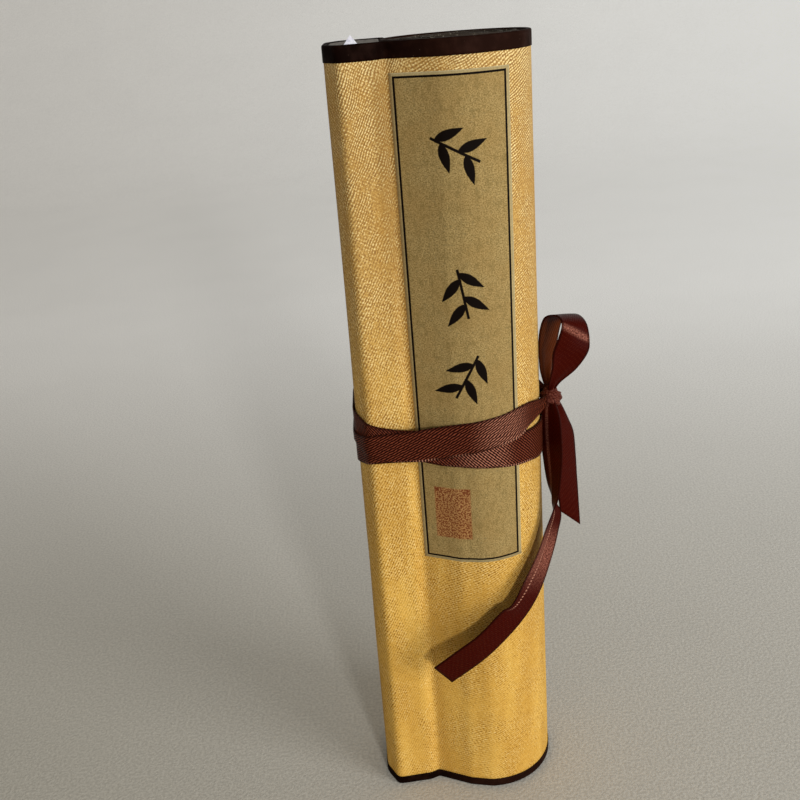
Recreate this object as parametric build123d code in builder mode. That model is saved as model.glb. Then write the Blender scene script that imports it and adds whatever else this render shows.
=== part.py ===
from build123d import *

import os
from math import cos, radians, sin, sqrt, tan

os.makedirs("parts", exist_ok=True)

# A rolled scroll that stands on its end. Z runs up the axis of the roll, the title slip faces -Y,
# and the batten in the sheet's outer end lies against the roll on its -X side.

# The rolled sheet, brocade on paper
scroll_height = 250.0
roll_radius = 21.6
sheet_thickness = 1.0
turn_pitch = 1.9
turn_count = 9
facet_angle = 19.0
facet_slope = 25.6
facet_bend = 6.0
flat_run = 1.2

# The batten that the sheet's outer end is glued round
batten_thickness = 14.55
batten_fit = 0.55
batten_seat = 0.3
batten_easing = 1.6
bulge_depth = 3.7
bulge_rise = 6.8
bulge_bend = 8.0
front_corner_bend = 1.8
back_corner_bend = 3.0
panel_slope = 1.1
flap_length = 3.2
flap_clearance = 2.3
flap_bend = 1.3

# The fold of the sheet where it leaves the batten for the roll
valley_gap = 1.9
valley_rise = 1.4
valley_bend = 2.0

# The tape folded over both long edges of the sheet, as far as its brocade cover reaches
edged_half_turns = 2
tape_thickness = 0.25
top_tape_width = 4.5
bottom_tape_width = 3.1

# The title slip, pasted beside the valley
slip_thickness = 0.2
slip_gap = 0.6
slip_width = 31.1
slip_length = 150.1
slip_drop = 8.2
slip_taper = 0.7

# What is printed on the slip: a line frame, three leafy sprigs and a square field
print_thickness = 0.05
frame_margin = 1.2
frame_line = 0.45
sprig_inset = 16.1
sprig_drops = [20.8, 61.3, 86.8]
sprig_leans = [62.0, 10.0, -28.0]
stem_length = 15.0
stem_width = 0.8
leaf_length = 8.6
leaf_width = 2.7
leaf_belly = 3.4
leaf_spread = 42.0
leaf_places = [(0.42, 1), (0.3, -1), (-0.05, 1), (-0.2, -1)]
field_width = 11.2
field_height = 18.0
field_inset = 4.1
field_rise = 8.2

# The loose corner of paper that stands up between the tape and the batten
corner_width = 5.4
corner_height = 2.3
corner_depth = 10.0
corner_slope = 0.8
corner_thickness = 0.15
corner_share = 0.36

# The ribbon: two turns round the scroll, a knot, one loop and two tails. Its lines and outlines
# below are in ribbon widths, from the middle of the knot.
ribbon_width = 10.5
ribbon_thickness = 0.6
ribbon_clearance = 0.1
knot_drop = 102.5
knot_width = 5.6
knot_height = 9.0
knot_depth = 6.5
knot_chamfer = 1.4
knot_front = 3.2
knot_sink = 0.5
loop_height = 27.5
loop_opening = 11.0
loop_bend = 5.0
loop_turn = 20.0
loop_reach = 11.0
sweep_places = [(-9, 0.53), (-30, 0.44), (-53, 0.46), (-75, 0.57), (-95, 0.63), (-120, 0.84)]

# The middle of the sheet's thickness, which its path follows, and the places set out from it. The
# front panel runs up to the valley at the end of the roll's first facet, and the flap at the back
# ends where it clears the turn beneath it, so the batten is as wide as the roll leaves room for.
roll_middle = roll_radius - sheet_thickness / 2
half_step = turn_pitch / 2
batten_inner = -(roll_radius - half_step + tape_thickness + batten_seat)
batten_skin = batten_fit + sheet_thickness / 2
side_x = batten_inner - batten_thickness - batten_skin
panel_x = side_x + bulge_depth
panel_end = batten_inner - batten_skin
panel_grade = panel_slope / (panel_end - panel_x)
facet_x = -roll_middle * sin(radians(facet_angle))
facet_y = -roll_middle * cos(radians(facet_angle))
valley_x = batten_inner + valley_gap
valley_y = facet_y + (facet_x - valley_x) * tan(radians(facet_slope))
front_y = valley_y - valley_rise - panel_slope
flap_x = batten_inner + batten_skin
flap_end_y = half_step + sqrt((roll_middle - half_step + flap_clearance) ** 2 - flap_x**2)
back_y = flap_end_y + flap_length
slip_top = scroll_height - slip_drop
slip_bottom = slip_top - slip_length
slip_left = valley_x + slip_gap
slip_right = slip_left + slip_width
knot_level = slip_top - knot_drop

with BuildLine() as outer_end:
    FilletPolyline(
        (flap_x, flap_end_y),
        (flap_x, back_y),
        (panel_x, back_y),
        (side_x, back_y - bulge_rise),
        (side_x, front_y + bulge_rise),
        (panel_x, front_y),
        (panel_end, front_y + panel_slope),
        (valley_x, valley_y),
        (facet_x, facet_y),
        (-flat_run, -roll_middle),
        (0, -roll_middle),
        radius=[
            flap_bend,
            back_corner_bend,
            bulge_bend,
            bulge_bend,
            front_corner_bend,
            flap_bend,
            valley_bend,
            facet_bend,
            facet_bend,
        ],
    )

# Each half turn has its own centre, so that the radius steps down by half a pitch with no kink
with BuildLine() as turns:
    for half_turn in range(2 * turn_count):
        far_side = half_turn % 2
        CenterArc(
            (0, half_step * far_side),
            roll_middle - half_turn * half_step,
            -90 + 180 * far_side,
            180,
        )

with BuildSketch() as sheet_section:
    trace([outer_end.line, turns.line], line_width=sheet_thickness)

with BuildLine() as edged_turns:
    add(turns.line.edges().sort_by(SortBy.RADIUS)[-edged_half_turns:])

with BuildSketch() as taped_section:
    trace([outer_end.line, edged_turns.line], line_width=sheet_thickness + 2 * tape_thickness)

with BuildPart() as rolled_sheet:
    with BuildSketch(Plane.XY.offset(tape_thickness)):
        add(sheet_section.sketch)
    extrude(amount=scroll_height - 2 * tape_thickness)
rolled_sheet.part.label = "rolled_sheet"
export_step(rolled_sheet.part, "parts/rolled_sheet.step")

# The tape is a channel that holds the sheet's edge
with BuildPart() as bottom_edging:
    add(taped_section.sketch)
    extrude(amount=bottom_tape_width)
    add(rolled_sheet.part, mode=Mode.SUBTRACT)
bottom_edging.part.label = "bottom_edging"
export_step(bottom_edging.part, "parts/bottom_edging.step")

with BuildPart() as top_edging:
    with BuildSketch(Plane.XY.offset(scroll_height - top_tape_width)):
        add(taped_section.sketch)
    extrude(amount=top_tape_width)
    add(rolled_sheet.part, mode=Mode.SUBTRACT)
top_edging.part.label = "top_edging"
export_step(top_edging.part, "parts/top_edging.step")

# The batten fills the pocket in the sheet's outer end
with BuildSketch() as pocket:
    with BuildLine():
        Polyline(
            (flap_x, back_y),
            (panel_x, back_y),
            (side_x, back_y - bulge_rise),
            (side_x, front_y + bulge_rise),
            (panel_x, front_y),
            (flap_x, front_y + panel_grade * (flap_x - panel_x)),
            close=True,
        )
    make_face()

with BuildPart() as batten:
    with BuildSketch(Plane.XY.offset(tape_thickness)) as batten_section:
        add(pocket.sketch)
        offset(amount=-batten_skin)
        fillet(batten_section.vertices(), radius=batten_easing)
    extrude(amount=scroll_height - 2 * tape_thickness)
batten.part.label = "batten"
export_step(batten.part, "parts/batten.step")

# A corner of the backing paper, caught behind the tape of the front panel
panel = Vector(panel_end - panel_x, panel_slope, 0)
panel_inward = Vector(-panel.Y, panel.X, 0).normalized()
corner_seat = (sheet_thickness + tape_thickness + batten_fit - corner_thickness) / 2
corner_origin = Vector(panel_x, front_y, scroll_height) + panel * corner_share + panel_inward * corner_seat
corner_shoulder = corner_height - corner_width / 2 / corner_slope
with BuildPart() as paper_corner:
    with BuildSketch(Plane(corner_origin, x_dir=panel, z_dir=-panel_inward)):
        with BuildLine():
            Polyline(
                (0, corner_height),
                (corner_width / 2, corner_shoulder),
                (corner_width / 2, -corner_depth),
                (-corner_width / 2, -corner_depth),
                (-corner_width / 2, corner_shoulder),
                close=True,
            )
        make_face()
    extrude(amount=-corner_thickness)
paper_corner.part.label = "paper_corner"
export_step(paper_corner.part, "parts/paper_corner.step")


# The section of a thin layer on the sheet's outer face, between two heights above that face
def front_layer(inner, outer):
    with BuildLine() as front_run:
        add(outer_end.line.edges().sort_by(Axis.X)[-6:])
        add(turns.line.edges()[0])
    with BuildSketch() as layer:
        trace(front_run.line, line_width=sheet_thickness + 2 * outer)
        trace(front_run.line, line_width=sheet_thickness + 2 * inner, mode=Mode.SUBTRACT)
    return layer.sketch.faces().sort_by(Axis.Y)[0]


def slip_outline(margin):
    with BuildSketch() as outline:
        with BuildLine():
            Polyline(
                (slip_left + slip_taper + margin, slip_bottom + margin),
                (slip_right - slip_taper - margin, slip_bottom + margin),
                (slip_right - margin, slip_top - margin),
                (slip_left + margin, slip_top - margin),
                close=True,
            )
        make_face()
    return outline.sketch


# A stem with four leaves, two on each side, as in a common ink ornament
def sprig():
    with BuildSketch() as leaf:
        with BuildLine():
            Polyline(
                (0, 0),
                (leaf_width / 2, leaf_belly),
                (0, leaf_length),
                (-leaf_width / 2, leaf_belly),
                close=True,
            )
        make_face()
    with BuildSketch() as drawing:
        Rectangle(stem_width, stem_length)
        for share, side in leaf_places:
            with Locations(Location((0, share * stem_length, 0), (0, 0, side * (90 + leaf_spread)))):
                add(leaf.sketch)
    return drawing.sketch


with BuildPart() as title_slip:
    add(front_layer(0, slip_thickness))
    extrude(amount=scroll_height)
    with BuildSketch(Plane.XZ):
        add(slip_outline(0))
    extrude(amount=2 * roll_radius, mode=Mode.INTERSECT)
title_slip.part.label = "title_slip"
export_step(title_slip.part, "parts/title_slip.step")

print_layer = front_layer(slip_thickness, slip_thickness + print_thickness)

with BuildPart() as printed_frame:
    add(print_layer)
    extrude(amount=scroll_height)
    with BuildSketch(Plane.XZ):
        add(slip_outline(frame_margin))
        add(slip_outline(frame_margin + frame_line), mode=Mode.SUBTRACT)
    extrude(amount=2 * roll_radius, mode=Mode.INTERSECT)
printed_frame.part.label = "printed_frame"
export_step(printed_frame.part, "parts/printed_frame.step")

with BuildPart() as printed_sprigs:
    add(print_layer)
    extrude(amount=scroll_height)
    with BuildSketch(Plane.XZ):
        for drop, lean in zip(sprig_drops, sprig_leans):
            with Locations(Location((slip_left + sprig_inset, slip_top - drop, 0), (0, 0, lean))):
                add(sprig())
    extrude(amount=2 * roll_radius, mode=Mode.INTERSECT)
printed_sprigs.part.label = "printed_sprigs"
export_step(printed_sprigs.part, "parts/printed_sprigs.step")

with BuildPart() as printed_field:
    add(print_layer)
    extrude(amount=scroll_height)
    with BuildSketch(Plane.XZ):
        with Locations((slip_left + field_inset, slip_bottom + field_rise)):
            Rectangle(field_width, field_height, align=Align.MIN)
    extrude(amount=2 * roll_radius, mode=Mode.INTERSECT)
printed_field.part.label = "printed_field"
export_step(printed_field.part, "parts/printed_field.step")

# The ribbon is pulled tight, so its turns run straight across the valley
ribbon_gap = slip_thickness + print_thickness + ribbon_clearance
ribbon_radius = roll_radius + ribbon_gap + ribbon_thickness
with BuildSketch() as bundle:
    add(pocket.sketch)
    offset(amount=sheet_thickness / 2)
    Circle(roll_radius)
    make_hull()

with BuildSketch() as ribbon_ring:
    add(bundle.sketch)
    offset(amount=ribbon_gap + ribbon_thickness)
    offset(bundle.sketch, amount=ribbon_gap, mode=Mode.SUBTRACT)

ribbon_left = side_x - 2 * (ribbon_gap + ribbon_thickness)
knot_x = ribbon_radius - knot_sink + knot_width / 2
with BuildPart() as ribbon_band:
    with BuildSketch(Plane.XY.offset(knot_level - 3 * ribbon_width)):
        add(ribbon_ring.sketch)
    extrude(amount=5 * ribbon_width)


# A front view's plane, at the level of the knot
def front_view(x, y=0):
    return Plane((x, y, knot_level), x_dir=(1, 0, 0), z_dir=(0, -1, 0))


def in_millimetres(points):
    return [(x * ribbon_width, z * ribbon_width) for x, z in points]


# Two turns of the ribbon on one side of the scroll. Each line gives the heights at the right-hand
# side and at the left-hand side, with any places between them.
def two_turns(lines, reach):
    with BuildPart() as half:
        add(ribbon_band.part)
        with BuildSketch(front_view(0)):
            for right_height, between, left_height in lines:
                with BuildLine():
                    Polyline(
                        (ribbon_radius, right_height * ribbon_width),
                        *in_millimetres(between),
                        (ribbon_left, left_height * ribbon_width),
                    )
                trace(line_width=ribbon_width)
        extrude(amount=reach, mode=Mode.INTERSECT)
    return half.part


# A strip of ribbon that bends along a line in plan, cut to its outline in the front view
def strip(plan, outline):
    with BuildPart() as piece:
        with BuildSketch():
            with BuildLine():
                Spline(plan)
            trace(line_width=ribbon_thickness)
        extrude(amount=scroll_height)
        with BuildSketch(front_view(knot_x)):
            with BuildLine():
                Polyline(in_millimetres(outline), close=True)
            make_face()
        extrude(amount=2 * roll_radius, mode=Mode.INTERSECT)
    return piece.part


with BuildPart() as knot:
    with Locations((knot_x, -knot_front, knot_level)):
        Box(knot_width, knot_depth, knot_height)
    chamfer(knot.edges(), length=knot_chamfer)

# The loop stands up from the knot, turned a little, with its two legs drawn together below
loop_side = Vector(-sin(radians(loop_turn)), cos(radians(loop_turn)), 0)
loop_along = loop_side.cross(Vector(0, 0, 1))
loop_outline = [
    (-0.17, -0.12),
    (-0.21, 0.45),
    (-0.27, 1.21),
    (-0.23, 2.19),
    (-0.05, 2.92),
    (0.93, 2.92),
    (1.22, 1.6),
    (1.1, 1.13),
    (0.61, 0.63),
    (0.19, 0.34),
    (0.15, -0.12),
]
with BuildPart() as loop:
    with BuildSketch(Plane((knot_x, -knot_front, knot_level), x_dir=loop_side, z_dir=loop_along)):
        with BuildLine():
            FilletPolyline(
                (-ribbon_thickness, 0),
                (-loop_opening / 2, loop_height / 2),
                (-loop_opening / 2, loop_height),
                (loop_opening / 2, loop_height),
                (loop_opening / 2, loop_height / 2),
                (ribbon_thickness, 0),
                radius=loop_bend,
            )
        trace(line_width=ribbon_thickness)
    extrude(amount=loop_reach, both=True)
    with BuildSketch(front_view(knot_x, loop_reach)):
        with BuildLine():
            Polyline(in_millimetres(loop_outline), close=True)
        make_face()
    extrude(amount=3 * loop_reach, mode=Mode.INTERSECT)

# The first tail hangs down beside the roll
tail_y = -knot_front
short_tail = strip(
    [
        (knot_x - knot_width / 2, tail_y + 0.05 * ribbon_width),
        (knot_x + knot_width, tail_y + 0.13 * ribbon_width),
        (knot_x + ribbon_width, tail_y + 0.17 * ribbon_width),
    ],
    [
        (-0.05, -0.02),
        (0.29, -0.11),
        (0.67, -1.14),
        (0.74, -2.94),
        (0.87, -4.46),
        (0.23, -3.92),
        (0.03, -2.46),
    ],
)

# The second tail hangs down in front of the first, then sweeps round the front of the roll
hanging_run = strip(
    [
        (knot_x - ribbon_width / 2, tail_y - 0.16 * ribbon_width),
        (knot_x, tail_y - 0.19 * ribbon_width),
        (knot_x + ribbon_width / 2, tail_y - 0.21 * ribbon_width),
    ],
    [
        (-0.13, -0.12),
        (0.17, -0.12),
        (0.3, -1.41),
        (0.27, -3.49),
        (0.21, -4.01),
        (0.06, -3.65),
        (-0.21, -2.46),
        (-0.27, -0.89),
    ],
)
swept_run = strip(
    [
        (
            (roll_radius + standoff * ribbon_width) * cos(radians(angle)),
            (roll_radius + standoff * ribbon_width) * sin(radians(angle)),
        )
        for angle, standoff in sweep_places
    ],
    [
        (0.25, -3.36),
        (-0.35, -3.9),
        (-1.07, -5.22),
        (-1.77, -5.97),
        (-2.67, -6.75),
        (-3.5, -7.65),
        (-3.5, -8.67),
        (-2.73, -8.06),
        (-1.91, -7.3),
        (-1.06, -6.31),
        (-0.05, -4.78),
        (0.25, -4.12),
    ],
)

front_turns = two_turns(
    [
        (-0.28, [(0.67, -0.3), (-1.1, -0.6)], -0.7),
        (-1.32, [(1.05, -0.98), (-0.86, -0.78)], -0.24),
    ],
    2 * roll_radius,
)
back_turns = two_turns([(-1.32, [], -0.7), (-0.28, [], -0.24)], -2 * roll_radius)

with BuildPart() as ribbon:
    add(front_turns)
    add(back_turns)
    add(knot.part)
    add(loop.part)
    add(short_tail)
    add(hanging_run)
    add(swept_run)
ribbon.part.label = "ribbon"
export_step(ribbon.part, "parts/ribbon.step")
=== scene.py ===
import math
from bisect import bisect_right

import bmesh
import bpy
from mathutils import Matrix, Vector, geometry, noise


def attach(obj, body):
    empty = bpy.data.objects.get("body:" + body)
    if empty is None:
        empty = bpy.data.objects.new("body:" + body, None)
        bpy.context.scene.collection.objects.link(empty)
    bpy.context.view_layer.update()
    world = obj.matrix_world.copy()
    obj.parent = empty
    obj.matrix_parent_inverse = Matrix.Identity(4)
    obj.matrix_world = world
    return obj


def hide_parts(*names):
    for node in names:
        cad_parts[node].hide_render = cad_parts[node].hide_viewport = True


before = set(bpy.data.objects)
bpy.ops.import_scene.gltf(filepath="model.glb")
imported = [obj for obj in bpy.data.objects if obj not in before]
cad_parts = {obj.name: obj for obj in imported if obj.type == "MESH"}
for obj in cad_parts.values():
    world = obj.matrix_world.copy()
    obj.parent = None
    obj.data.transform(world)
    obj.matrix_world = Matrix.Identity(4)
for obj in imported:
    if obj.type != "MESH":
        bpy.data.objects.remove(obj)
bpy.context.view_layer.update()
millimetre = 0.001  # everything is worked out in millimetres and scaled when a mesh is finished
perMetre = 1000


def blend(low, high, share):
    return low + (high - low) * share


def ease(value, low, high):  # 0 below low, 1 above high, smooth between
    share = min(1, max(0, (value - low) / (high - low)))
    return share * share * (3 - 2 * share)


def table(rows, at):  # straight interpolation in rows of (place, value, value ...)
    if at <= rows[0][0]:
        return rows[0][1:]
    for low, high in zip(rows, rows[1:]):
        if at <= high[0]:
            share = (at - low[0]) / (high[0] - low[0])
            return tuple(blend(a, b, share) for a, b in zip(low[1:], high[1:]))
    return rows[-1][1:]


def throughPoints(points, share):  # a smooth curve through all the points
    place = share * (len(points) - 1)
    first = min(int(place), len(points) - 2)
    t = place - first
    b, c = Vector(points[first]), Vector(points[first + 1])
    a = Vector(points[first - 1]) if first else b * 2 - c
    d = Vector(points[first + 2]) if first + 2 < len(points) else c * 2 - b
    return 0.5 * (2 * b + (c - a) * t + (2 * a - 5 * b + 4 * c - d) * t * t + (3 * b - a - 3 * c + d) * t**3)


# Camera
cameraSet = {
    "place": (-23.0, -297.6, 261.3),
    "down": 22.03,
    "roll": 4.6,
    "lens": 45,
    "sensor": 36,
    "near": 0.01,
}
down, roll = math.radians(cameraSet["down"]), math.radians(cameraSet["roll"])
level = Vector((1, 0, 0))
under = Vector((0, -math.sin(down), -math.cos(down)))
ahead = Vector((0, math.cos(down), -math.sin(down)))
right = math.cos(roll) * level + math.sin(roll) * under
upward = math.sin(roll) * level - math.cos(roll) * under
cameraData = bpy.data.cameras.new("camera")
cameraData.lens = cameraSet["lens"]
cameraData.sensor_width = cameraSet["sensor"]
cameraData.clip_start = cameraSet["near"]
camera = bpy.data.objects.new("camera", cameraData)
cameraAxes = Matrix((right, upward, -ahead)).transposed().to_4x4()
camera.matrix_world = Matrix.Translation(Vector(cameraSet["place"]) * millimetre) @ cameraAxes
bpy.context.scene.collection.objects.link(camera)
bpy.context.scene.camera = camera
bpy.context.scene.view_settings.view_transform = "Standard"


# Shader wiring
class Wire:  # a socket that Python's operators work on
    def __init__(self, finish, socket):
        self.finish = finish
        self.socket = socket

    def math(self, operation, *values):
        return self.finish.node("ShaderNodeMath", {"operation": operation}, list(values))

    def __add__(self, other):
        return self.math("ADD", self, other)

    def __radd__(self, other):
        return self.math("ADD", other, self)

    def __sub__(self, other):
        return self.math("SUBTRACT", self, other)

    def __rsub__(self, other):
        return self.math("SUBTRACT", other, self)

    def __mul__(self, other):
        return self.math("MULTIPLY", self, other)

    def __truediv__(self, other):
        return self.math("DIVIDE", self, other)

    def __pow__(self, other):
        return self.math("POWER", self, other)

    def __abs__(self):
        return self.math("ABSOLUTE", self)

    def wave(self):  # sine of whole turns, from 0 to 1
        return self.math("SINE", self * (2 * math.pi)) * 0.5 + 0.5

    def least(self, other):
        return self.math("MINIMUM", self, other)

    def most(self, other):
        return self.math("MAXIMUM", self, other)

    def step(self, low, high):  # smooth from 0 at low to 1 at high
        ends = {"From Min": low, "From Max": high}
        if low > high:
            ends = {"From Min": high, "From Max": low, "To Min": 1, "To Max": 0}
        settings = {"interpolation_type": "SMOOTHSTEP"}
        return self.finish.node("ShaderNodeMapRange", settings, {"Value": self, **ends})


class Finish:  # one material
    def __init__(self, name, **fixed):
        self.material = bpy.data.materials.new(name)
        self.material.use_nodes = True
        self.tree = self.material.node_tree
        self.shader = self.tree.nodes["Principled BSDF"]
        for socketName, value in fixed.items():
            self.shader.inputs[socketName.replace("_", " ")].default_value = value

    def node(self, kind, settings=None, values=None, out=0):
        made = self.tree.nodes.new(kind)
        for name, value in (settings or {}).items():
            setattr(made, name, value)
        pairs = values.items() if isinstance(values, dict) else enumerate(values or [])
        for key, value in pairs:
            if isinstance(value, Wire):
                self.tree.links.new(value.socket, made.inputs[key])
            else:
                made.inputs[key].default_value = value
        return Wire(self, made.outputs[out])

    def uv(self):  # distance along and height, in millimetres
        spot = self.node("ShaderNodeUVMap", {"uv_map": "UVMap"})
        return spot, *self.parts(spot)[:2]

    def place(self):  # object coordinates in millimetres
        spot = self.node("ShaderNodeTexCoord", out=3)
        return self.node("ShaderNodeVectorMath", {"operation": "SCALE"}, {0: spot, "Scale": perMetre})

    def parts(self, vector):
        split = self.node("ShaderNodeSeparateXYZ", values=[vector])
        made = split.socket.node
        return [Wire(self, socket) for socket in made.outputs]

    def point(self, x, y, z=0):
        return self.node("ShaderNodeCombineXYZ", values=[x, y, z])

    def grain(self, spot, scale, detail=2.0, rough=0.5):
        values = {"Vector": spot, "Scale": scale, "Detail": detail, "Roughness": rough}
        return self.node("ShaderNodeTexNoise", values=values)

    def mix(self, share, low, high):
        made = self.tree.nodes.new("ShaderNodeMix")
        made.data_type = "RGBA"
        for key, value in ((0, share), (6, low), (7, high)):
            if isinstance(value, Wire):
                self.tree.links.new(value.socket, made.inputs[key])
            else:
                made.inputs[key].default_value = value
        return Wire(self, made.outputs[2])

    def feed(self, name, value):
        self.tree.links.new(value.socket, self.shader.inputs[name])

    def bump(self, height, strength, distance=0.0001):
        values = {"Strength": strength, "Distance": distance, "Height": height}
        self.feed("Normal", self.node("ShaderNodeBump", values=values))


def colour(red, green, blue):  # from 0 to 255 as seen, to the shader's linear values
    seen = [part / 255 for part in (red, green, blue)]
    return tuple(part / 12.92 if part <= 0.04045 else ((part + 0.055) / 1.055) ** 2.4 for part in seen) + (1,)


# Section of the roll: the middle line of the sheet, from the batten's flap inwards
rollSet = {
    "height": 250,
    "radius": 21.1,
    "pitch": 1.9,
    "turns": 9,
    "halfTurnSteps": 60,
    "thickness": 1.0,
    "bends": [1.3, 3.0, 8.0, 8.0, 1.8, 1.3, 2.0, 6.0, 6.0],
    "bendSteps": 12,
    "footBulge": -0.75,
    "rimBulge": 0.8,
    "leanFrom": -15,  # left of this x the bulge leans, and fully so one leanRun further on
    "leanRun": 15,
    "footCrease": -8.2,
    "rimCrease": -5.3,
    "valley": 59.9,  # distance at which the cover dips beside the slip
    "valleyDepth": 1.1,
    "valleyWidth": 1.6,
    "rippleReach": 150,  # how far past the front of the roll the cover is uneven
}


def leanShare(x):  # how far a point takes part in the bulge's lean, from 0 to 1
    return min(1, max(0, (rollSet["leanFrom"] - x) / rollSet["leanRun"]))


def sectionCorners(bulge, crease):
    front = -rollSet["radius"]
    creaseFront = -math.sqrt(rollSet["radius"] ** 2 - crease**2)
    corners = [(-20.15, 10.85), (-20.15, 14.05), (-33.1, 14.05), (-36.8, 7.25), (-36.8, -9.7), (-33.1, -16.5)]
    corners += [(-22.25, -15.4), (-19.3, -14.0), (crease, creaseFront), (-1.2, front), (0, front)]
    return [(x + bulge * leanShare(x), y) for x, y in corners]


def roundedLine(corners):  # straight runs joined by arcs
    steps = rollSet["bendSteps"]
    spots = [Vector(corner) for corner in corners]
    made = [spots[0]]
    for before, corner, after, radius in zip(spots, spots[1:], spots[2:], rollSet["bends"]):
        inward, outward = (before - corner).normalized(), (after - corner).normalized()
        turn = math.pi - inward.angle(outward)
        reach = radius * math.tan(turn / 2)
        centre = corner + (inward + outward).normalized() * radius / math.cos(turn / 2)
        start, end = corner + inward * reach - centre, corner + outward * reach - centre
        swing = -start.angle_signed(end)
        for step in range(steps + 1):
            angle = swing * step / steps
            made.append(centre + Matrix.Rotation(angle, 2) @ start)
    return made + [spots[-1]]


def spiral():  # half turns that step inwards by half the pitch
    made = []
    half, steps = rollSet["pitch"] / 2, rollSet["halfTurnSteps"]
    for turn in range(rollSet["turns"] * 2):
        side = turn % 2
        radius = rollSet["radius"] - turn * half
        for step in range(1, steps + 1):
            angle = math.pi * (step / steps - 0.5 + side)
            made.append(Vector((radius * math.cos(angle), radius * math.sin(angle) + half * side)))
    return made


class Section:  # the sheet's line, read by distance and height
    def __init__(self):
        self.foot = roundedLine(sectionCorners(rollSet["footBulge"], rollSet["footCrease"]))
        self.rim = roundedLine(sectionCorners(rollSet["rimBulge"], rollSet["rimCrease"]))
        self.coverRun = len(self.foot) - 1
        self.foot += spiral()
        self.rim += spiral()
        self.distances = [0.0]
        foot, rim = self.foot, self.rim
        for index in range(1, len(foot)):
            step = (foot[index] + rim[index] - foot[index - 1] - rim[index - 1]).length / 2
            self.distances.append(self.distances[-1] + step)
        self.length = self.distances[-1]
        self.front = self.distances[self.coverRun]  # distance at the front of the roll, x = 0
        self.turnEnd = self.distances[self.coverRun + 2 * rollSet["halfTurnSteps"]]  # one whole turn later

    def point(self, distance, z):
        index = min(max(bisect_right(self.distances, distance) - 1, 0), len(self.distances) - 2)
        share = (distance - self.distances[index]) / (self.distances[index + 1] - self.distances[index])
        low = self.foot[index].lerp(self.foot[index + 1], share)
        high = self.rim[index].lerp(self.rim[index + 1], share)
        return low.lerp(high, z / rollSet["height"])

    def place(self, distance, z, proud=0.0):  # proud is how far outside the middle line
        spot = self.point(distance, z)
        run = self.point(distance + 0.5, z) - self.point(distance - 0.5, z)
        out = Vector((run.y, -run.x)).normalized()
        spot = spot + out * (proud + self.ripple(distance, z))
        return Vector((spot.x, spot.y, z))

    def ripple(self, distance, z):  # the soft unevenness of the cover
        if distance > self.front + rollSet["rippleReach"]:
            return 0.0
        held = ease(z, 108, 120) * (1 - ease(z, 146, 158))  # by the ribbon
        loose = ease(z, 3, 25) * (1 - ease(z, 228, 247)) * (1 - held)
        slow = noise.noise(Vector((distance / 16, z / 55, 3.1)))
        quick = noise.noise(Vector((distance / 6, z / 38, 7.7)))
        below = 1 - ease(z, 88, 100)
        valleyShare = math.exp(-(((distance - rollSet["valley"]) / rollSet["valleyWidth"]) ** 2))
        pinch = rollSet["valleyDepth"] * valleyShare * ease(z, 85, 135)
        return loose * (0.2 * slow + 0.09 * quick + 0.16 * below * quick) - pinch

    def distanceAt(self, x, z, proud):  # on the front of the cover, by halving
        low, high = self.front - 30, self.front + 25
        for _ in range(24):
            middle = (low + high) / 2
            if self.place(middle, z, proud).x < x:
                low = middle
            else:
                high = middle
        return (low + high) / 2


section = Section()
print("section:", round(section.length), "mm of sheet,", round(section.front), "mm to the front of the roll")


# place takes two shares and gives a point and its UV, both in millimetres
def clothStrip(mesh, alongSteps, acrossSteps, place):
    uvLayer = mesh.loops.layers.uv.get("UVMap") or mesh.loops.layers.uv.new("UVMap")
    made = bmesh.ops.create_grid(mesh, x_segments=alongSteps, y_segments=acrossSteps, size=0.5)["verts"]
    flat = {}
    for vert in made:
        spot, flat[vert] = place(min(1, max(0, vert.co.x + 0.5)), min(1, max(0, vert.co.y + 0.5)))
        vert.co = spot
    for face in {face for vert in made for face in vert.link_faces}:
        face.smooth = True
        for loop in face.loops:
            loop[uvLayer].uv = flat[loop.vert]
    return made


def finishPiece(name, mesh, finishes, standsFor):
    bmesh.ops.scale(mesh, vec=(millimetre,) * 3, verts=mesh.verts)
    data = bpy.data.meshes.new(name)
    mesh.to_mesh(data)
    mesh.free()
    piece = bpy.data.objects.new(name, data)
    bpy.context.scene.collection.objects.link(piece)
    for finish in finishes:
        data.materials.append(finish.material)
    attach(piece, "root")
    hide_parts(*standsFor)
    return piece


def thicken(piece, thickness, **more):
    wall = piece.modifiers.new("wall", "SOLIDIFY")
    wall.thickness = thickness * millimetre
    wall.offset = 0
    wall.use_even_offset = True
    wall.use_rim = True
    for name, value in more.items():
        setattr(wall, name, value)


# Brocade cover
clothSet = {
    "gold": colour(216, 168, 76),
    "shade": colour(132, 84, 18),
    "glint": colour(255, 234, 172),
    "paleTone": colour(166, 134, 88),
    "lobeLean": 62,
    "rollLean": 27,
    "fine": (0.76, 1.05),
    "coarse": (0.73, 0.84),
    "paintedValleyShade": colour(128, 94, 42),
    # streak tones for the painted shade and light of soft folds
    "paintedFoldShade": colour(178, 128, 48),
    "light": colour(236, 192, 96),
    "backing": colour(52, 44, 36),
    "flake": colour(168, 158, 138),
    "pastTurn": 6,  # how far the cover goes on past its first turn
    "coverStep": 0.9,
    "innerStep": 2.5,
    "footLift": 0.45,
    "rimDrop": 0.55,
}


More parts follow.
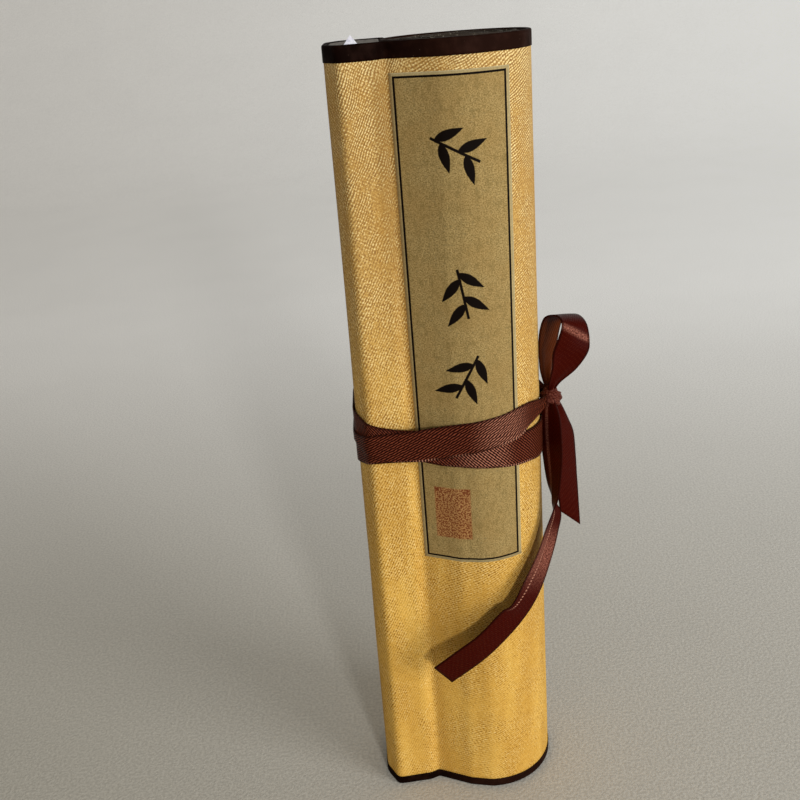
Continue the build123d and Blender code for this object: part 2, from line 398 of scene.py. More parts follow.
def brocadeFinish():
    cloth = Finish("gold brocade", Roughness=0.6, Specular_IOR_Level=0.06)
    spot, along, up = cloth.uv()
    drift = (cloth.grain(spot, 0.1, 1.0) - 0.5) * 4
    wobble = (cloth.grain(spot, 0.9, 3.0) - 0.5) * 0.5
    onRoll = along.step(section.front - 22, section.front - 10)

    def threads(pitches, shift):  # rows and the beads along them
        made = []
        for name in ("lobeLean", "rollLean"):
            lean = math.radians(clothSet[name])
            row = up * math.cos(lean) - along * math.sin(lean) + wobble + drift * shift
            bead = along * math.cos(lean) + up * math.sin(lean) - wobble + drift * (0.5 - shift)
            made.append(((row / pitches[0]).wave(), (bead / pitches[1]).wave()))
        return [low + (high - low) * onRoll for low, high in zip(*made)]

    row, bead = threads(clothSet["fine"], 0.4)
    fine = row * 0.75 + bead * 0.25
    row, bead = threads(clothSet["coarse"], 0.8)
    coarse = row * (bead * 0.6 + 0.4)
    high = up.step(70, 215)
    rimward = up.step(170, 240)
    figured = cloth.grain(cloth.point(along * 0.14, up * 0.07), 1.0, 3.0).step(0.38, 0.6)
    crumb = cloth.grain(spot, 1.55, 3.0, 0.8) - 0.5
    blotch = cloth.grain(spot, 0.35, 3.0, 0.6) - 0.5
    weave = (fine - 0.5) * (1 - rimward * 0.6) + (coarse - 0.35) * rimward * 1.5
    rough = figured * 0.4 + up.step(20, 130) * 0.45 + 0.4
    tone = (weave * 0.95 + crumb * 4.0) * rough + blotch * 0.6 + 0.57 - high * 0.12
    body = cloth.mix(tone.step(-0.2, 0.66), clothSet["shade"], clothSet["gold"])
    # towards the top the cover is a little darker in tone and mixed with a duller, paler colour
    body = cloth.mix(high * 0.5, body, clothSet["paleTone"])
    body = cloth.mix(tone.step(0.6, 1.35) * (0.5 + high * 0.3), body, clothSet["glint"])
    # painted shade: the cover is darkened in the valley beside the slip, over its upper part
    paintedValleyShade = abs(along - rollSet["valley"] + 1.4).step(4.2, 0.8) * up.step(140, 225)
    body = cloth.mix(paintedValleyShade * 0.5, body, clothSet["paintedValleyShade"])
    body = cloth.mix(up.step(236, 248) * tone.step(0.2, 0.8) * 0.35, body, clothSet["glint"])
    # painted shade and light of soft upright folds: darker streaks all over, lighter ones low on the cover
    slow = cloth.grain(cloth.point(along * 0.13, up * 0.022), 1.0, 2.0)
    body = cloth.mix(slow.step(0.42, 0.7) * 0.3, body, clothSet["paintedFoldShade"])
    body = cloth.mix(slow.step(0.5, 0.3) * (1 - high) * 0.3, body, clothSet["light"])
    cloth.feed("Base Color", body)
    cloth.feed("Roughness", 0.72 - fine * 0.2)
    cloth.bump(weave * 0.8 + crumb * 1.3, 0.6, 0.00018)
    return cloth


def paperFinish():
    paper = Finish("backing paper", Roughness=0.9, Specular_IOR_Level=0.2)
    spot, along, up = paper.uv()
    flake = paper.grain(paper.point(along * 0.55, up * 0.4), 1.0, 4.0, 0.7)
    body = paper.mix(flake.step(0.56, 0.72), clothSet["backing"], clothSet["flake"])
    paper.feed("Base Color", body)
    return paper


brocade = brocadeFinish()
backing = paperFinish()
coverEnd = section.turnEnd + clothSet["pastTurn"]


def sheetStations():  # close together on the cover, wider inside the roll
    stations = [0.0]
    while stations[-1] < section.length - 2.6:
        onCover = stations[-1] < coverEnd + 5
        stations.append(stations[-1] + clothSet["coverStep" if onCover else "innerStep"])
    return stations + [section.length]


stations = sheetStations()
sheetMesh = bmesh.new()


def sheetPlace(along, up):
    distance = stations[round(along * (len(stations) - 1))]
    drop = clothSet["rimDrop"]
    if distance >= coverEnd:  # the bare ends inside are uneven
        drop = 0.35 + 0.25 * math.sin(distance / 31) + 0.12 * math.sin(distance / 4.1)
    z = blend(clothSet["footLift"], rollSet["height"] - drop, up)
    return section.place(distance, z), (distance, z)


clothStrip(sheetMesh, len(stations) - 1, 62, sheetPlace)
sheetUv = sheetMesh.loops.layers.uv["UVMap"]
for face in sheetMesh.faces:
    if sum(loop[sheetUv].uv.x for loop in face.loops) / 4 > coverEnd:
        face.material_index = 1
sheet = finishPiece("rolledBrocade", sheetMesh, [brocade, backing], ["rolled_sheet"])
thicken(sheet, rollSet["thickness"])
print("sheet made")


# Edging tape
tapeSet = {
    "thickness": 0.25,
    "topWidth": 4.5,
    "bottomWidth": 3.1,
    "short": 5.5,  # how far before the cover the tape ends
    "waver": 0.1,
    "brown": colour(14, 4, 2),
    "sheen": colour(42, 22, 15),
    "paleTone": colour(110, 90, 76),
}


def tapeFinish():
    tape = Finish("edging tape", Roughness=0.55, Specular_IOR_Level=0.02)
    spot, along, up = tape.uv()
    fibre = tape.grain(tape.point(along * 0.25, up * 3.0), 1.0, 3.0)
    rubAndSheen = tape.grain(spot, 0.22, 3.0, 0.6)
    scuff = tape.grain(tape.point(along * 0.9, up * 0.9), 1.0, 4.0, 0.7)
    # painted sheen: the tape is lighter towards the front of the roll and in the patches where it is rubbed
    # smoother
    body = tape.mix(rubAndSheen.step(0.4, 0.7) * 0.4 + along.step(58, 78) * 0.45, tapeSet["brown"], tapeSet["sheen"])
    body = tape.mix(scuff.step(0.66, 0.74) * 0.6, body, tapeSet["paleTone"])
    tape.feed("Base Color", body)
    tape.feed("Roughness", 0.68 - rubAndSheen.step(0.4, 0.7) * 0.2)
    tape.bump(fibre + scuff * 0.5, 0.3)
    return tape


edging = tapeFinish()


def tapeProfile(width):  # rows of (place, how far out, how far from the rim), from outside over the rim
    half = rollSet["thickness"] / 2 + tapeSet["thickness"] / 2
    rim = tapeSet["thickness"] / 2
    return [
        (0, half, width), (1, half, width * 0.66), (2, half, width * 0.33),
        (3, half, 0.5), (3.5, half - 0.1, 0.22), (4, half - 0.35, rim),
        (5, 0.35 - half, rim), (5.5, 0.1 - half, 0.22), (6, -half, 0.5),
        (7, -half, width * 0.5), (8, -half, width),
    ]


def makeTape(name, width, rim, node):
    mesh = bmesh.new()
    profile = tapeProfile(width)
    upwards = 1 if rim == 0 else -1
    run = coverEnd - tapeSet["short"]

    def place(along, across):
        share = across if rim else 1 - across
        out, deep = table(profile, share * 8)
        distance = along * run
        waver = tapeSet["waver"] if share in (0, 1) else 0  # at the two cut edges only
        edge = waver * noise.noise(Vector((distance / 9, width, 0)))
        z = rim + upwards * (deep + edge)
        return section.place(distance, z, out), (distance, share * 10)

    clothStrip(mesh, round(run / clothSet["coverStep"]), 16, place)
    bmesh.ops.recalc_face_normals(mesh, faces=mesh.faces)
    if sum(face.normal.z * (1 if rim else -1) for face in mesh.faces) < 0:
        bmesh.ops.reverse_faces(mesh, faces=mesh.faces)
    piece = finishPiece(name, mesh, [edging], [node])
    thicken(piece, tapeSet["thickness"])
    return piece


topTape = makeTape("topTape", tapeSet["topWidth"], rollSet["height"], "top_edging")
bottomTape = makeTape("bottomTape", tapeSet["bottomWidth"], 0, "bottom_edging")
print("tapes made")


# Title slip with its print
slipSet = {
    "left": -19.05,
    "right": 13.1,
    "top": 241.8,
    "bottom": 91.7,
    "taper": (0.25, 1.1),
    "thickness": 0.18,
    "dark": colour(116, 96, 52),
    "light": colour(184, 157, 104),
    "speck": colour(92, 86, 58),
    "warm": colour(144, 112, 60),
    "cloud": colour(112, 94, 52),
    "margin": colour(196, 182, 140),
    "cut": colour(200, 188, 150),
    "ink": colour(14, 7, 4),
    "stamp": colour(196, 112, 62),
    "stampDots": colour(96, 24, 9),
    "frameInset": 0.85,
    "frameLine": 0.6,
    "sprigs": [(-2.6, 221.0, 62), (-2.6, 180.5, 10), (-2.6, 155.0, -28)],
    "stem": (15.0, 0.8),
    "leaf": (8.6, 1.4),
    "leaves": [(0.42, -1), (0.3, 1), (-0.05, -1), (-0.2, 1)],
    "spread": 132,
    "field": (-14.6, -3.4, 99.9, 117.9),
}


def slipFinish():
    paper = Finish("slip paper", Roughness=0.85, Specular_IOR_Level=0.05)
    spot, across, up = paper.uv()
    fine = paper.grain(spot, 2.6, 3.0, 0.7)
    wide = paper.grain(spot, 0.09, 3.0)
    speck = paper.grain(spot, 1.3, 2.0, 0.6)
    body = paper.mix(fine.step(0.32, 0.68), slipSet["dark"], slipSet["light"])
    body = paper.mix(speck.step(0.56, 0.7) * 0.5, body, slipSet["speck"])
    body = paper.mix(wide.step(0.35, 0.7) * 0.3, body, slipSet["warm"])
    cloud = paper.grain(paper.point(across * 0.6, up * 0.3), 1.0, 3.0, 0.6)
    body = paper.mix(cloud.step(0.45, 0.7) * 0.4, body, slipSet["cloud"])
    fall = (slipSet["top"] - up) / (slipSet["top"] - slipSet["bottom"])
    leftTaper, rightTaper = slipSet["taper"]
    inside = across - slipSet["left"] - fall * leftTaper
    inside = inside.least(slipSet["right"] - fall * rightTaper - across)
    inside = inside.least(up - slipSet["bottom"]).least(slipSet["top"] - up)
    waver = (paper.grain(spot, 1.1, 3.0, 0.6) - 0.5) * 0.35
    edge = abs(inside - (slipSet["frameInset"] + slipSet["frameLine"] / 2)) + waver * 0.25
    ink = edge.step(slipSet["frameLine"] / 2 + 0.06, slipSet["frameLine"] / 2 - 0.06)
    for x, z, lean in slipSet["sprigs"]:
        ink = ink.most(sprigMask(paper, across, up, waver, x, z, lean))
    margin = inside.step(slipSet["frameInset"] + 0.1, slipSet["frameInset"] - 0.1)
    body = paper.mix(margin * 0.35, body, slipSet["margin"])
    body = paper.mix(ink, body, slipSet["ink"])
    low, high, bottom, top = slipSet["field"]
    field = (across - low).least(high - across).least(up - bottom).least(top - up) + waver * 0.8
    crumbs = paper.grain(spot, 1.9, 1.0, 0.7)
    corners = abs(across - (low + high) / 2).step(2.6, 5.0) * up.step(top - 3.2, top - 0.6)
    stamped = field.step(-0.1, 0.4)
    body = paper.mix(stamped * 0.3, body, slipSet["stamp"])
    dots = (crumbs + corners * 0.14).step(0.485, 0.525)
    body = paper.mix(stamped * dots * 0.8, body, slipSet["stampDots"])
    cut = inside.step(0.3, 0.05)
    body = paper.mix(cut * 0.6, body, slipSet["cut"])
    paper.feed("Base Color", body)
    paper.feed("Roughness", 0.88 - ink * 0.2)
    paper.bump(fine * 0.8 + speck * 0.4, 0.25)
    return paper


def sprigMask(paper, across, up, waver, x, z, lean):
    turn = math.radians(lean)
    dx, dz = across - x, up - z
    side = dx * math.cos(turn) + dz * math.sin(turn)
    high = dz * math.cos(turn) - dx * math.sin(turn)
    stemLength, stemWidth = slipSet["stem"]
    stem = abs(side) + waver * 0.6
    mask = stem.step(stemWidth / 2 + 0.08, stemWidth / 2 - 0.08)
    mask = mask * abs(high).step(stemLength / 2 + 0.1, stemLength / 2 - 0.1)
    leafLength, leafHalf = slipSet["leaf"]
    for share, hand in slipSet["leaves"]:
        bend = math.radians(hand * slipSet["spread"])
        hx, hz = side, high - share * stemLength
        width = hx * math.cos(bend) + hz * math.sin(bend)
        run = (hz * math.cos(bend) - hx * math.sin(bend)) / leafLength
        inside = run.most(0.0001).least(1) ** 0.75
        half = inside.math("SINE", inside * math.pi) * leafHalf
        leaf = (abs(width) + waver * 0.7 - half).step(0.1, -0.08)
        mask = mask.most(leaf * run.step(0, 0.02) * run.step(1, 0.98))
    return mask


slipInk = slipFinish()
slipMesh = bmesh.new()


def slipPlace(across, upShare):
    z = blend(slipSet["bottom"], slipSet["top"], upShare)
    leftTaper, rightTaper = (taper * (1 - upShare) for taper in slipSet["taper"])
    x = blend(slipSet["left"] + leftTaper, slipSet["right"] - rightTaper, across)
    proud = rollSet["thickness"] / 2 + slipSet["thickness"] / 2 + 0.04
    flutter = 0.4 + 0.6 * noise.noise(Vector((z / 20, across * 5, 0)))
    lift = 0.35 * ease(abs(across - 0.5), 0.46, 0.5) * flutter  # the long edges stand off a little
    distance = section.distanceAt(x, z, proud)
    return section.place(distance, z, proud + max(0, lift) * 0.5), (x, z)


clothStrip(slipMesh, 40, 100, slipPlace)
slipNodes = ["title_slip", "printed_frame", "printed_sprigs", "printed_field"]
slip = finishPiece("titleSlip", slipMesh, [slipInk], slipNodes)
thicken(slip, slipSet["thickness"])
print("slip made")


# Batten and the loose corner of paper over it
def woodFinish():
    wood = Finish("batten wood", Roughness=0.8, Specular_IOR_Level=0.25)
    spot = wood.place()
    x, y, z = wood.parts(spot)
    ring = wood.grain(wood.point(x * 0.9, y * 0.9, z * 0.03), 1.0, 4.0, 0.6)
    body = wood.mix(ring.step(0.3, 0.7), colour(66, 58, 52), colour(150, 144, 138))
    wood.feed("Base Color", body)
    wood.bump(ring, 0.4)
    return wood


def whiteFinish():
    white = Finish("white paper", Roughness=0.8, Specular_IOR_Level=0.3)
    spot = white.place()
    body = white.mix(white.grain(spot, 0.8, 3.0).step(0.3, 0.7), colour(196, 194, 208), colour(240, 240, 246))
    white.feed("Base Color", body)
    white.bump(white.grain(spot, 2.5, 3.0), 0.2)
    return white


def carried(name, node, finish, bevel):  # a merged copy of a CAD node, leaned as the sheet is
    mesh = bmesh.new()
    mesh.from_mesh(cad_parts[node].data)
    bmesh.ops.remove_doubles(mesh, verts=mesh.verts, dist=0.00001)
    bmesh.ops.scale(mesh, vec=(perMetre,) * 3, verts=mesh.verts)
    sharp = [edge for edge in mesh.edges if len(edge.link_faces) == 2 and edge.calc_face_angle() > 0.5]
    if bevel:
        bmesh.ops.bevel(
            mesh, geom=sharp, affect="EDGES", offset=bevel, segments=2, profile=0.5, material=-1
        )
    for vert in mesh.verts:
        lean = blend(rollSet["footBulge"], rollSet["rimBulge"], vert.co.z / rollSet["height"])
        vert.co.x += leanShare(vert.co.x) * lean
    return finishPiece(name, mesh, [finish], [node])


carried("woodBatten", "batten", woodFinish(), 0.25)
carried("paperCorner", "paper_corner", whiteFinish(), 0)
print("batten and corner made")


# Ribbon
ribbonSet = {
    "width": 10.5,
    "thickness": 0.4,
    "rest": 1.1,  # middle of the under turn outside the sheet's line
    "layer": 0.48,
    "knot": (24.8, -3.2, 139.3),
    "brown": colour(144, 72, 48),
    "dark": colour(32, 6, 3),
    "pale": colour(206, 148, 122),
    "tailTone": colour(58, 6, 1),
    "gleam": colour(182, 116, 96),
    "inner": colour(112, 56, 18),
    "creaseAt": 0.42,
    "creaseHigh": 1.3,
    "twill": 0.76,
    "upperTwill": 26,
    "lowerTwill": 42,
    "pleats": 0.5,
    "loopLength": 60,
    "backLength": 50,
    "frontLength": 109,
    "turnsEnd": 500,  # the strands follow each other along the UV, each from its own place
    "loopAt": 1000,
    "knotAt": 1200,
    "backAt": 2000,
    "frontAt": 3000,
    "barrel": (2.2, 2.6, 8.2),
    "band": (2.7, 3.2, 4.4),
    "bandTilt": (-24, 18),
}
# distance round the scroll from its right side, by way of the front, and the heights of both edges
turns = [
    (5.6, 141.4, 138.8), (7.4, 141.3, 138.2), (9.0, 141.5, 137.8), (10.6, 141.8, 137.2),
    (13.1, 142.4, 136.4), (15.8, 142.8, 135.5), (18.8, 142.9, 134.2), (22.3, 142.7, 132.9),
    (26.5, 141.9, 132.3), (31.1, 141.3, 131.6), (37.3, 140.4, 130.4), (43.4, 139.7, 129.3),
    (52.6, 138.5, 128.1), (60.0, 137.8, 127.8), (67.6, 136.9, 127.3), (73.0, 135.7, 126.2),
    (80.0, 135.3, 125.2), (100.0, 134.7, 124.3), (130.0, 133.4, 123.0), (155.0, 132.5, 122.1),
    (172.2, 133.2, 121.8), (182.6, 133.6, 122.2), (189.0, 133.9, 123.2), (195.0, 134.1, 123.8),
    (202.0, 135.1, 124.8), (211.2, 136.0, 125.6), (218.5, 136.7, 126.3), (224.9, 138.2, 127.9),
    (232.4, 138.7, 128.3), (237.0, 139.5, 129.1), (240.6, 140.7, 130.3), (243.5, 141.6, 131.2),
    (248.0, 142.6, 132.2), (262.0, 143.6, 133.1), (290.0, 144.2, 133.7), (318.0, 144.2, 133.8),
    (332.0, 143.6, 134.6), (339.0, 142.4, 136.0), (344.0, 141.4, 137.4), (348.6, 141.2, 138.0),
]
loopEdges = [
    ((23.8, -5.6, 142.5), (25.9, -4.4, 141.8)), ((24.0, -8.1, 146.8), (27.9, -5.5, 145.1)),
    ((24.6, -9.1, 151.1), (32.5, -6.5, 149.3)), ((25.0, -8.8, 155.9), (35.9, -7.6, 154.6)),
    ((26.7, -9.4, 160.8), (36.7, -6.6, 158.4)), ((27.7, -9.9, 165.4), (36.2, -4.1, 163.1)),
    ((26.6, -5.9, 166.9), (34.4, 0.9, 164.5)), ((23.9, -1.5, 165.1), (31.1, 5.5, 162.7)),
    ((22.5, -0.3, 160.8), (29.9, 6.3, 159.4)), ((22.0, 0.1, 155.7), (28.8, 6.5, 154.0)),
    ((22.0, -0.2, 151.5), (27.2, 4.6, 149.3)), ((22.2, -1.4, 147.1), (25.9, 1.0, 145.9)),
    ((23.0, -2.9, 143.6), (25.3, -2.1, 143.0)), ((23.7, -4.2, 141.6), (25.4, -3.4, 141.1)),
]
backTail = [
    ((23.8, -3.1, 140.8), (25.8, -2.4, 140.4)), ((24.0, -3.8, 137.6), (28.2, -1.4, 136.3)),
    ((24.6, -5.0, 133.3), (30.7, 0.2, 130.5)), ((25.4, -5.6, 127.8), (32.8, 1.2, 124.5)),
    ((26.0, -5.2, 119.4), (33.5, 1.2, 115.8)), ((26.4, -4.9, 109.4), (34.0, 1.3, 105.6)),
    ((27.3, -3.2, 97.7), (34.6, 0.0, 90.2)),
]
frontTail = [
    ((23.3, -4.3, 140.7), (24.9, -6.1, 141.2)), ((22.4, -3.6, 136.7), (25.9, -7.6, 138.0)),
    ((21.8, -2.6, 131.8), (26.8, -9.0, 134.1)), ((21.9, -1.8, 123.6), (27.1, -10.2, 127.0)),
    ((22.5, -2.0, 115.7), (26.9, -10.8, 119.5)), ((23.6, -2.6, 108.2), (26.2, -11.8, 112.6)),
    ((25.3, -3.9, 102.4), (25.0, -13.2, 107.3)), ((27.3, -5.4, 98.1), (23.1, -13.8, 103.0)),
    ((25.6, -8.6, 93.2), (20.5, -16.2, 98.4)), ((22.8, -13.2, 87.1), (16.8, -20.4, 91.9)),
    ((19.2, -18.1, 80.9), (12.2, -24.4, 85.5)), ((14.9, -21.6, 74.4), (7.4, -27.6, 78.7)),
    ((9.7, -24.8, 69.3), (3.6, -28.8, 76.9)), ((2.7, -26.2, 62.4), (-3.8, -29.8, 69.8)),
    ((-4.4, -26.4, 56.2), (-10.5, -29.2, 64.3)), ((-13.3, -24.8, 48.5), (-18.9, -27.6, 56.9)),
]


def ribbonFinish():
    cloth = Finish("brown ribbon", Roughness=0.45, Specular_IOR_Level=0.03)
    spot, along, across = cloth.uv()
    width = ribbonSet["width"]
    loop, knot, front = ribbonSet["loopAt"], ribbonSet["knotAt"], ribbonSet["frontAt"]

    def stretch(low, rise, fall, high):  # 1 from rise to fall, 0 before low and after high
        return along.step(low, rise) * along.step(high, fall)

    onTurns = (ribbonSet["turnsEnd"] - along).step(0, 100)
    zig = abs(across / width - 0.5) * width
    upper = math.radians(ribbonSet["upperTwill"])
    lower = math.radians(ribbonSet["lowerTwill"])
    loose = (cloth.grain(spot, 0.5, 2.0) - 0.5) * 0.5
    upperRow = across * math.cos(upper) + along * math.sin(upper)
    lowerRow = across * math.cos(lower) - along * math.sin(lower)
    under = along.step(girth - 3, girth + 3)
    row = upperRow + (lowerRow - upperRow) * under + loose
    taut = onTurns * 0.6 + 0.4  # the twill shows less on the loop and the tails
    rib = ((row / ribbonSet["twill"]).wave() - 0.5) * taut + 0.5
    grain = cloth.grain(spot, 2.2, 3.0, 0.7)
    slow = cloth.grain(spot, 0.14, 2.0)
    dots = ((along * 0.9 + across * 0.5 + loose * 2) / 1.15).wave()
    lit = (rib + (dots - 0.5) * 0.35 + (grain - 0.5) * 0.9).step(0.5, 1.0)
    shine = abs(along - 27).step(12, 2).most(abs(along - girth - 33).step(11, 3)) * onTurns
    body = cloth.mix(lit * (0.5 + slow * 0.3 + shine * 0.35), ribbonSet["dark"], ribbonSet["brown"])
    body = cloth.mix(shine * lit * 0.45, body, ribbonSet["pale"])
    body = cloth.mix((1 - onTurns) * 0.88, body, ribbonSet["tailTone"])
    inner = stretch(loop + 32, loop + 36, loop + 50, loop + 60)
    body = cloth.mix(inner * (rib * 0.7 + 0.1), body, ribbonSet["inner"])
    paintedHighlights = abs(along + across * 0.38 - (loop + 22.5)).step(1.7, 0.3) * 0.8  # painted highlight across the loop's face
    # painted light on the lit middle part of the long tail's sweep
    paintedHighlights = paintedHighlights.most(stretch(front + 54, front + 64, front + 66, front + 78) * 0.75)
    # painted highlight specks on the upper part of the long tail
    highlightSpecks = abs(across - 3.4).step(1.1, 0.3) * stretch(front + 3, front + 10, front + 38, front + 48)
    paintedHighlights = paintedHighlights.most(highlightSpecks * 0.6)
    paintedHighlights = paintedHighlights.most(stretch(knot - 10, knot, knot + 90, knot + 100) * 0.28)  # painted highlight flecks on the knot
    body = cloth.mix(paintedHighlights * (grain.step(0.42, 0.62) * 0.75 + 0.1), body, ribbonSet["gleam"])
    low = (width / 2 - across).step(0, 0.5)  # the lower edge only
    selvedge = zig.step(width / 2 - 0.75, width / 2 - 0.5)
    picot = (along / 0.95).wave().step(0.5, 0.85) * cloth.grain(spot, 0.07, 1.0).step(0.42, 0.62) * onTurns
    body = cloth.mix(selvedge * (1 - low * picot) * 0.6, body, ribbonSet["dark"])
    body = cloth.mix(selvedge * low * picot * 0.75, body, ribbonSet["pale"])
    # painted glint: a dotted pale line along the crease of the long tail's sweep
    slant = (along - (front + 60)).most(0) * 0.2
    crease = abs(across - width * ribbonSet["creaseAt"] - slant).step(0.45, 0.2)
    crease = crease * stretch(front + 46, front + 52, front + 80, front + 86)
    crease = crease * (along / 0.85).wave().step(0.3, 0.7)
    body = cloth.mix(crease * 0.6, body, ribbonSet["pale"])
    cloth.feed("Base Color", body)
    cloth.feed("Roughness", 0.42 - rib * 0.14)
    cloth.bump(rib + grain * 0.8 + selvedge * picot, 1.0, 0.00011)
    return cloth


def outline(proud, z):  # the taut line round the whole scroll, clockwise from its right side
    ring = [section.place(section.front + 124 * step / 90, z) for step in range(91)]
    ring += [section.place(section.front * step / 70, z) for step in range(71)]
    flat = [Vector((spot.x + proud * math.cos(turn), spot.y + proud * math.sin(turn)))
            for spot in ring for turn in (math.tau * step / 48 for step in range(48))]
    hull = [flat[index] for index in geometry.convex_hull_2d(flat)]
    area = sum(a.x * b.y - b.x * a.y for a, b in zip(hull, hull[1:] + hull[:1]))
    hull = hull[::-1] if area > 0 else hull
    start = max(range(len(hull)), key=lambda index: hull[index].x)
    hull = hull[start:] + hull[:start] + [hull[start]]
    distances = [0.0]
    for a, b in zip(hull, hull[1:]):
        distances.append(distances[-1] + (b - a).length)
    return hull, distances


hull, hullDistances = outline(ribbonSet["rest"], 134)
girth = hullDistances[-1]
print("girth under the ribbon:", round(girth, 1), "mm")


def roundHull(travel):
    travel = travel % girth
    index = min(bisect_right(hullDistances, travel) - 1, len(hull) - 2)
    share = (travel - hullDistances[index]) / (hullDistances[index + 1] - hullDistances[index])
    run = roundHullRun(travel)
    return hull[index].lerp(hull[index + 1], share), Vector((-run.y, run.x))


def roundHullRun(travel):
    ends = []
    for place in ((travel - 0.6) % girth, (travel + 0.6) % girth):
        index = min(bisect_right(hullDistances, place) - 1, len(hull) - 2)
        share = (place - hullDistances[index]) / (hullDistances[index + 1] - hullDistances[index])
        ends.append(hull[index].lerp(hull[index + 1], share))
    return (ends[1] - ends[0]).normalized()


def turnPlace(along, across):
    travel = blend(turns[0][0], turns[-1][0], along)
    top, bottom = table(turns, travel)
    z = blend(bottom, top, across)
    spot, out = roundHull(travel)
    proud = 0.0
    beneath = travel + girth
    if beneath < turns[-1][0]:
        underTop, underBottom = table(turns, beneath)
        rise = ease(z, underBottom - 0.7, underBottom + 0.1)
        fall = 1 - ease(z, underTop - 0.1, underTop + 0.7)
        proud += ribbonSet["layer"] * rise * fall
    gather = max(1 - ease(travel, 6, 17), ease(travel, turns[-1][0] - 14, turns[-1][0] - 3))
    proud += gather * (1.2 + 0.5 * math.sin(across * 15))
    proud += 0.12 * noise.noise(Vector((travel / 9, across * 2.2, 1.3)))
    spot = spot + out * proud
    return Vector((spot.x, spot.y, z)), (travel, across * ribbonSet["width"])


def edgedStrip(edges, length, start, creased=False):  # a strip between two drawn edges
    left, right = [pair[0] for pair in edges], [pair[1] for pair in edges]
    fold = ribbonSet["creaseAt"]

    def between(along, across):
        return throughPoints(left, along).lerp(throughPoints(right, along), across)

    def place(along, across):
        a, b = throughPoints(left, along), throughPoints(right, along)
        spot = a.lerp(b, across)
        run = between(min(1, along + 0.02), across) - between(max(0, along - 0.02), across)
        out = run.cross(b - a).normalized()
        tight = 1 - min(1, (b - a).length / ribbonSet["width"])
        curl = tight * ribbonSet["pleats"] * math.sin(across * math.tau * 1.5)
        curl += 0.35 * (4 * across * (1 - across) - 0.5) * tight
        curl += 0.1 * noise.noise(Vector((along * length / 8, across * 2, start / 500)))
        if creased:
            share = across / fold if across < fold else (1 - across) / (1 - fold)
            curl += ribbonSet["creaseHigh"] * share * ease(along, 0.3, 0.42) * (1 - ease(along, 0.58, 0.7))
        return spot + out * curl, (start + along * length, across * ribbonSet["width"])

    return place


def knotBarrel(along, across):  # the gathered core
    turn = math.tau * along
    wide, deep, tall = ribbonSet["barrel"]
    high = (across - 0.5) * tall
    belly = math.sqrt(max(0.05, 1 - (across - 0.5) ** 2 * 3.0))
    fold = 1 + 0.09 * math.sin(turn * 5 + across * 3)
    centre = Vector(ribbonSet["knot"])
    spot = centre + Vector((wide * belly * fold * math.cos(turn), deep * belly * fold * math.sin(turn), high))
    return spot, (ribbonSet["knotAt"] + along * 17, 2 + across * 6)


def knotBand(along, across):  # the strand that crosses over the core
    turn = math.tau * along
    wide, deep, tall = ribbonSet["band"]
    forward, sideways = (math.radians(tilt) for tilt in ribbonSet["bandTilt"])
    groove = 0.22 * math.sin(across * math.pi * 4) + 0.5 * (4 * across * (1 - across))
    high = (across - 0.5) * tall
    spot = Vector(((wide + groove) * math.cos(turn), (deep + groove) * math.sin(turn), high))
    spot = Matrix.Rotation(forward, 3, "X") @ Matrix.Rotation(sideways, 3, "Y") @ spot
    spot = spot + Vector(ribbonSet["knot"]) + Vector((0.2, 0, -0.2))
    return spot, (ribbonSet["knotAt"] + along * 19, 3 + across * tall)


ribbonMesh = bmesh.new()
clothStrip(ribbonMesh, 430, 14, turnPlace)
clothStrip(ribbonMesh, 96, 14, edgedStrip(loopEdges, ribbonSet["loopLength"], ribbonSet["loopAt"]))
clothStrip(ribbonMesh, 64, 14, edgedStrip(backTail, ribbonSet["backLength"], ribbonSet["backAt"]))
sweep = edgedStrip(frontTail, ribbonSet["frontLength"], ribbonSet["frontAt"], creased=True)
clothStrip(ribbonMesh, 140, 14, sweep)
barrel = clothStrip(ribbonMesh, 60, 12, knotBarrel)
band = clothStrip(ribbonMesh, 60, 12, knotBand)
bmesh.ops.remove_doubles(ribbonMesh, verts=barrel + band, dist=0.002)
ribbon = finishPiece("tiedRibbon", ribbonMesh, [ribbonFinish()], ["ribbon"])
thicken(ribbon, ribbonSet["thickness"], use_even_offset=False)
print("ribbon made")


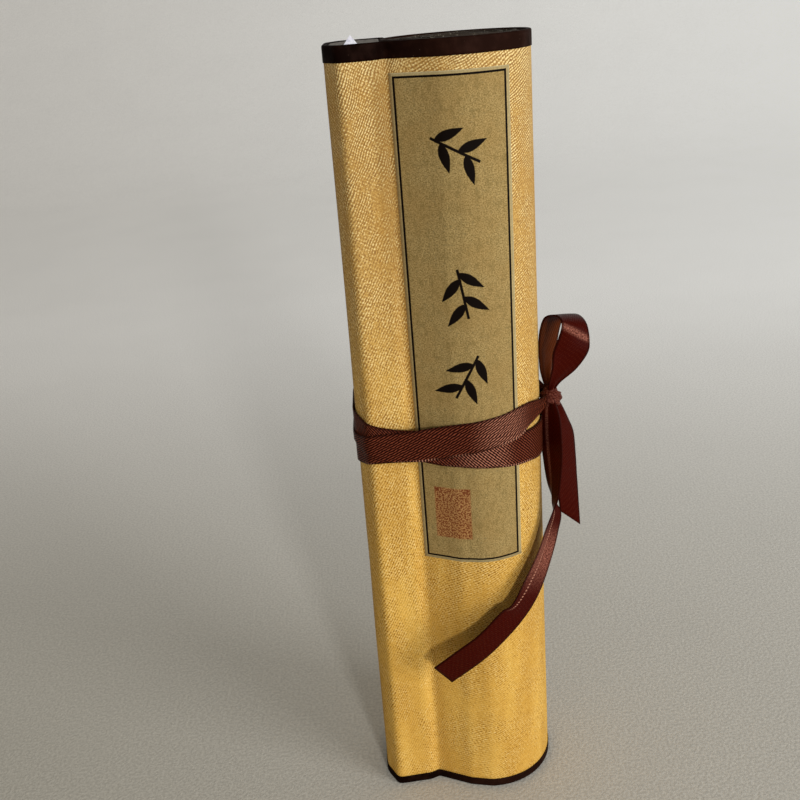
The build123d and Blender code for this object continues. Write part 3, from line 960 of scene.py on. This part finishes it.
# Floor, sky and lamps
stageSet = {
    # floor tones are painted light: darker near the camera and on the left, brighter far back and on the
    # right
    "nearLeft": colour(190, 185, 172),
    "nearRight": colour(218, 215, 206),
    "farLeft": colour(230, 227, 221),
    "farRight": colour(236, 237, 235),
    "sky": 0.3,
    "skyColour": (1, 0.96, 0.88, 1),
    "width": 7,
    "length": 6,
    "near": -2.0,
    "flat": 3.2,  # how far the floor runs before it bends up
    "bend": 0.8,
    "speckle": colour(120, 116, 108),
    "stain": colour(150, 147, 140),
    "aim": (0, 0, 0.13),
    # glow of the far floor: painted light
    "lift": 0.26,
    "lamps": [  # name, place, size, power
        ("window", (1.47, -1.11, 0.56), 0.9, 21.5),
        ("lamp", (0.36, -1.45, 0.54), 0.14, 8.8),
    ],
}
floorMesh = bmesh.new()
bmesh.ops.create_grid(floorMesh, x_segments=40, y_segments=60, size=0.5)
for vert in floorMesh.verts:
    run = (vert.co.y + 0.5) * stageSet["length"]
    flatRun, radius = stageSet["flat"], stageSet["bend"]
    turn = min(max((run - flatRun) / radius, 0), math.pi / 2)
    back = min(run, flatRun) + radius * math.sin(turn)
    high = radius * (1 - math.cos(turn)) + max(0, run - flatRun - radius * math.pi / 2)
    vert.co = (vert.co.x * stageSet["width"], back + stageSet["near"], high)
for face in floorMesh.faces:
    face.smooth = True
floorData = bpy.data.meshes.new("floor")
floorMesh.to_mesh(floorData)
floorMesh.free()
floor = bpy.data.objects.new("floor", floorData)
bpy.context.scene.collection.objects.link(floor)
ground = Finish("pale floor", Roughness=0.9, Specular_IOR_Level=0.1)
groundSpot = ground.place()
groundX, groundY = ground.parts(groundSpot)[:2]
groundFar = groundY.step(-50, 620)
groundSide = (groundX / (groundY + 900)).step(-0.4, 0.4)
groundTone = ground.mix(
    groundFar,
    ground.mix(groundSide, stageSet["nearLeft"], stageSet["nearRight"]),
    ground.mix(groundSide, stageSet["farLeft"], stageSet["farRight"]),
)
tooth = ground.grain(groundSpot, 0.9, 2.0, 0.6)
stain = ground.grain(groundSpot, 0.012, 3.0)
groundTone = ground.mix(tooth.step(0.35, 0.65) * 0.25, groundTone, stageSet["speckle"])
groundTone = ground.mix(stain.step(0.35, 0.7) * 0.04, groundTone, stageSet["stain"])
# painted light: the far floor glows, more towards the right
groundGlow = groundFar * (0.5 + groundSide * 0.5)
ground.feed("Emission Color", ground.mix(groundGlow, (0, 0, 0, 1), (1, 1, 0.99, 1)))
ground.shader.inputs["Emission Strength"].default_value = stageSet["lift"]
ground.feed("Base Color", groundTone)
ground.bump(tooth, 0.35, 0.0006)
floorData.materials.append(ground.material)

world = bpy.data.worlds.new("sky")
world.use_nodes = True
sky = world.node_tree.nodes["Background"]
sky.inputs["Color"].default_value = stageSet["skyColour"]
sky.inputs["Strength"].default_value = stageSet["sky"]
bpy.context.scene.world = world

for lampName, lampPlace, lampSize, lampPower in stageSet["lamps"]:
    lampData = bpy.data.lights.new(lampName, "AREA")
    lampData.size = lampSize
    lampData.energy = lampPower
    lamp = bpy.data.objects.new(lampName, lampData)
    lamp.location = lampPlace
    lamp.rotation_euler = (Vector(stageSet["aim"]) - lamp.location).to_track_quat("-Z", "Y").to_euler()
    bpy.context.scene.collection.objects.link(lamp)
print("stage made")
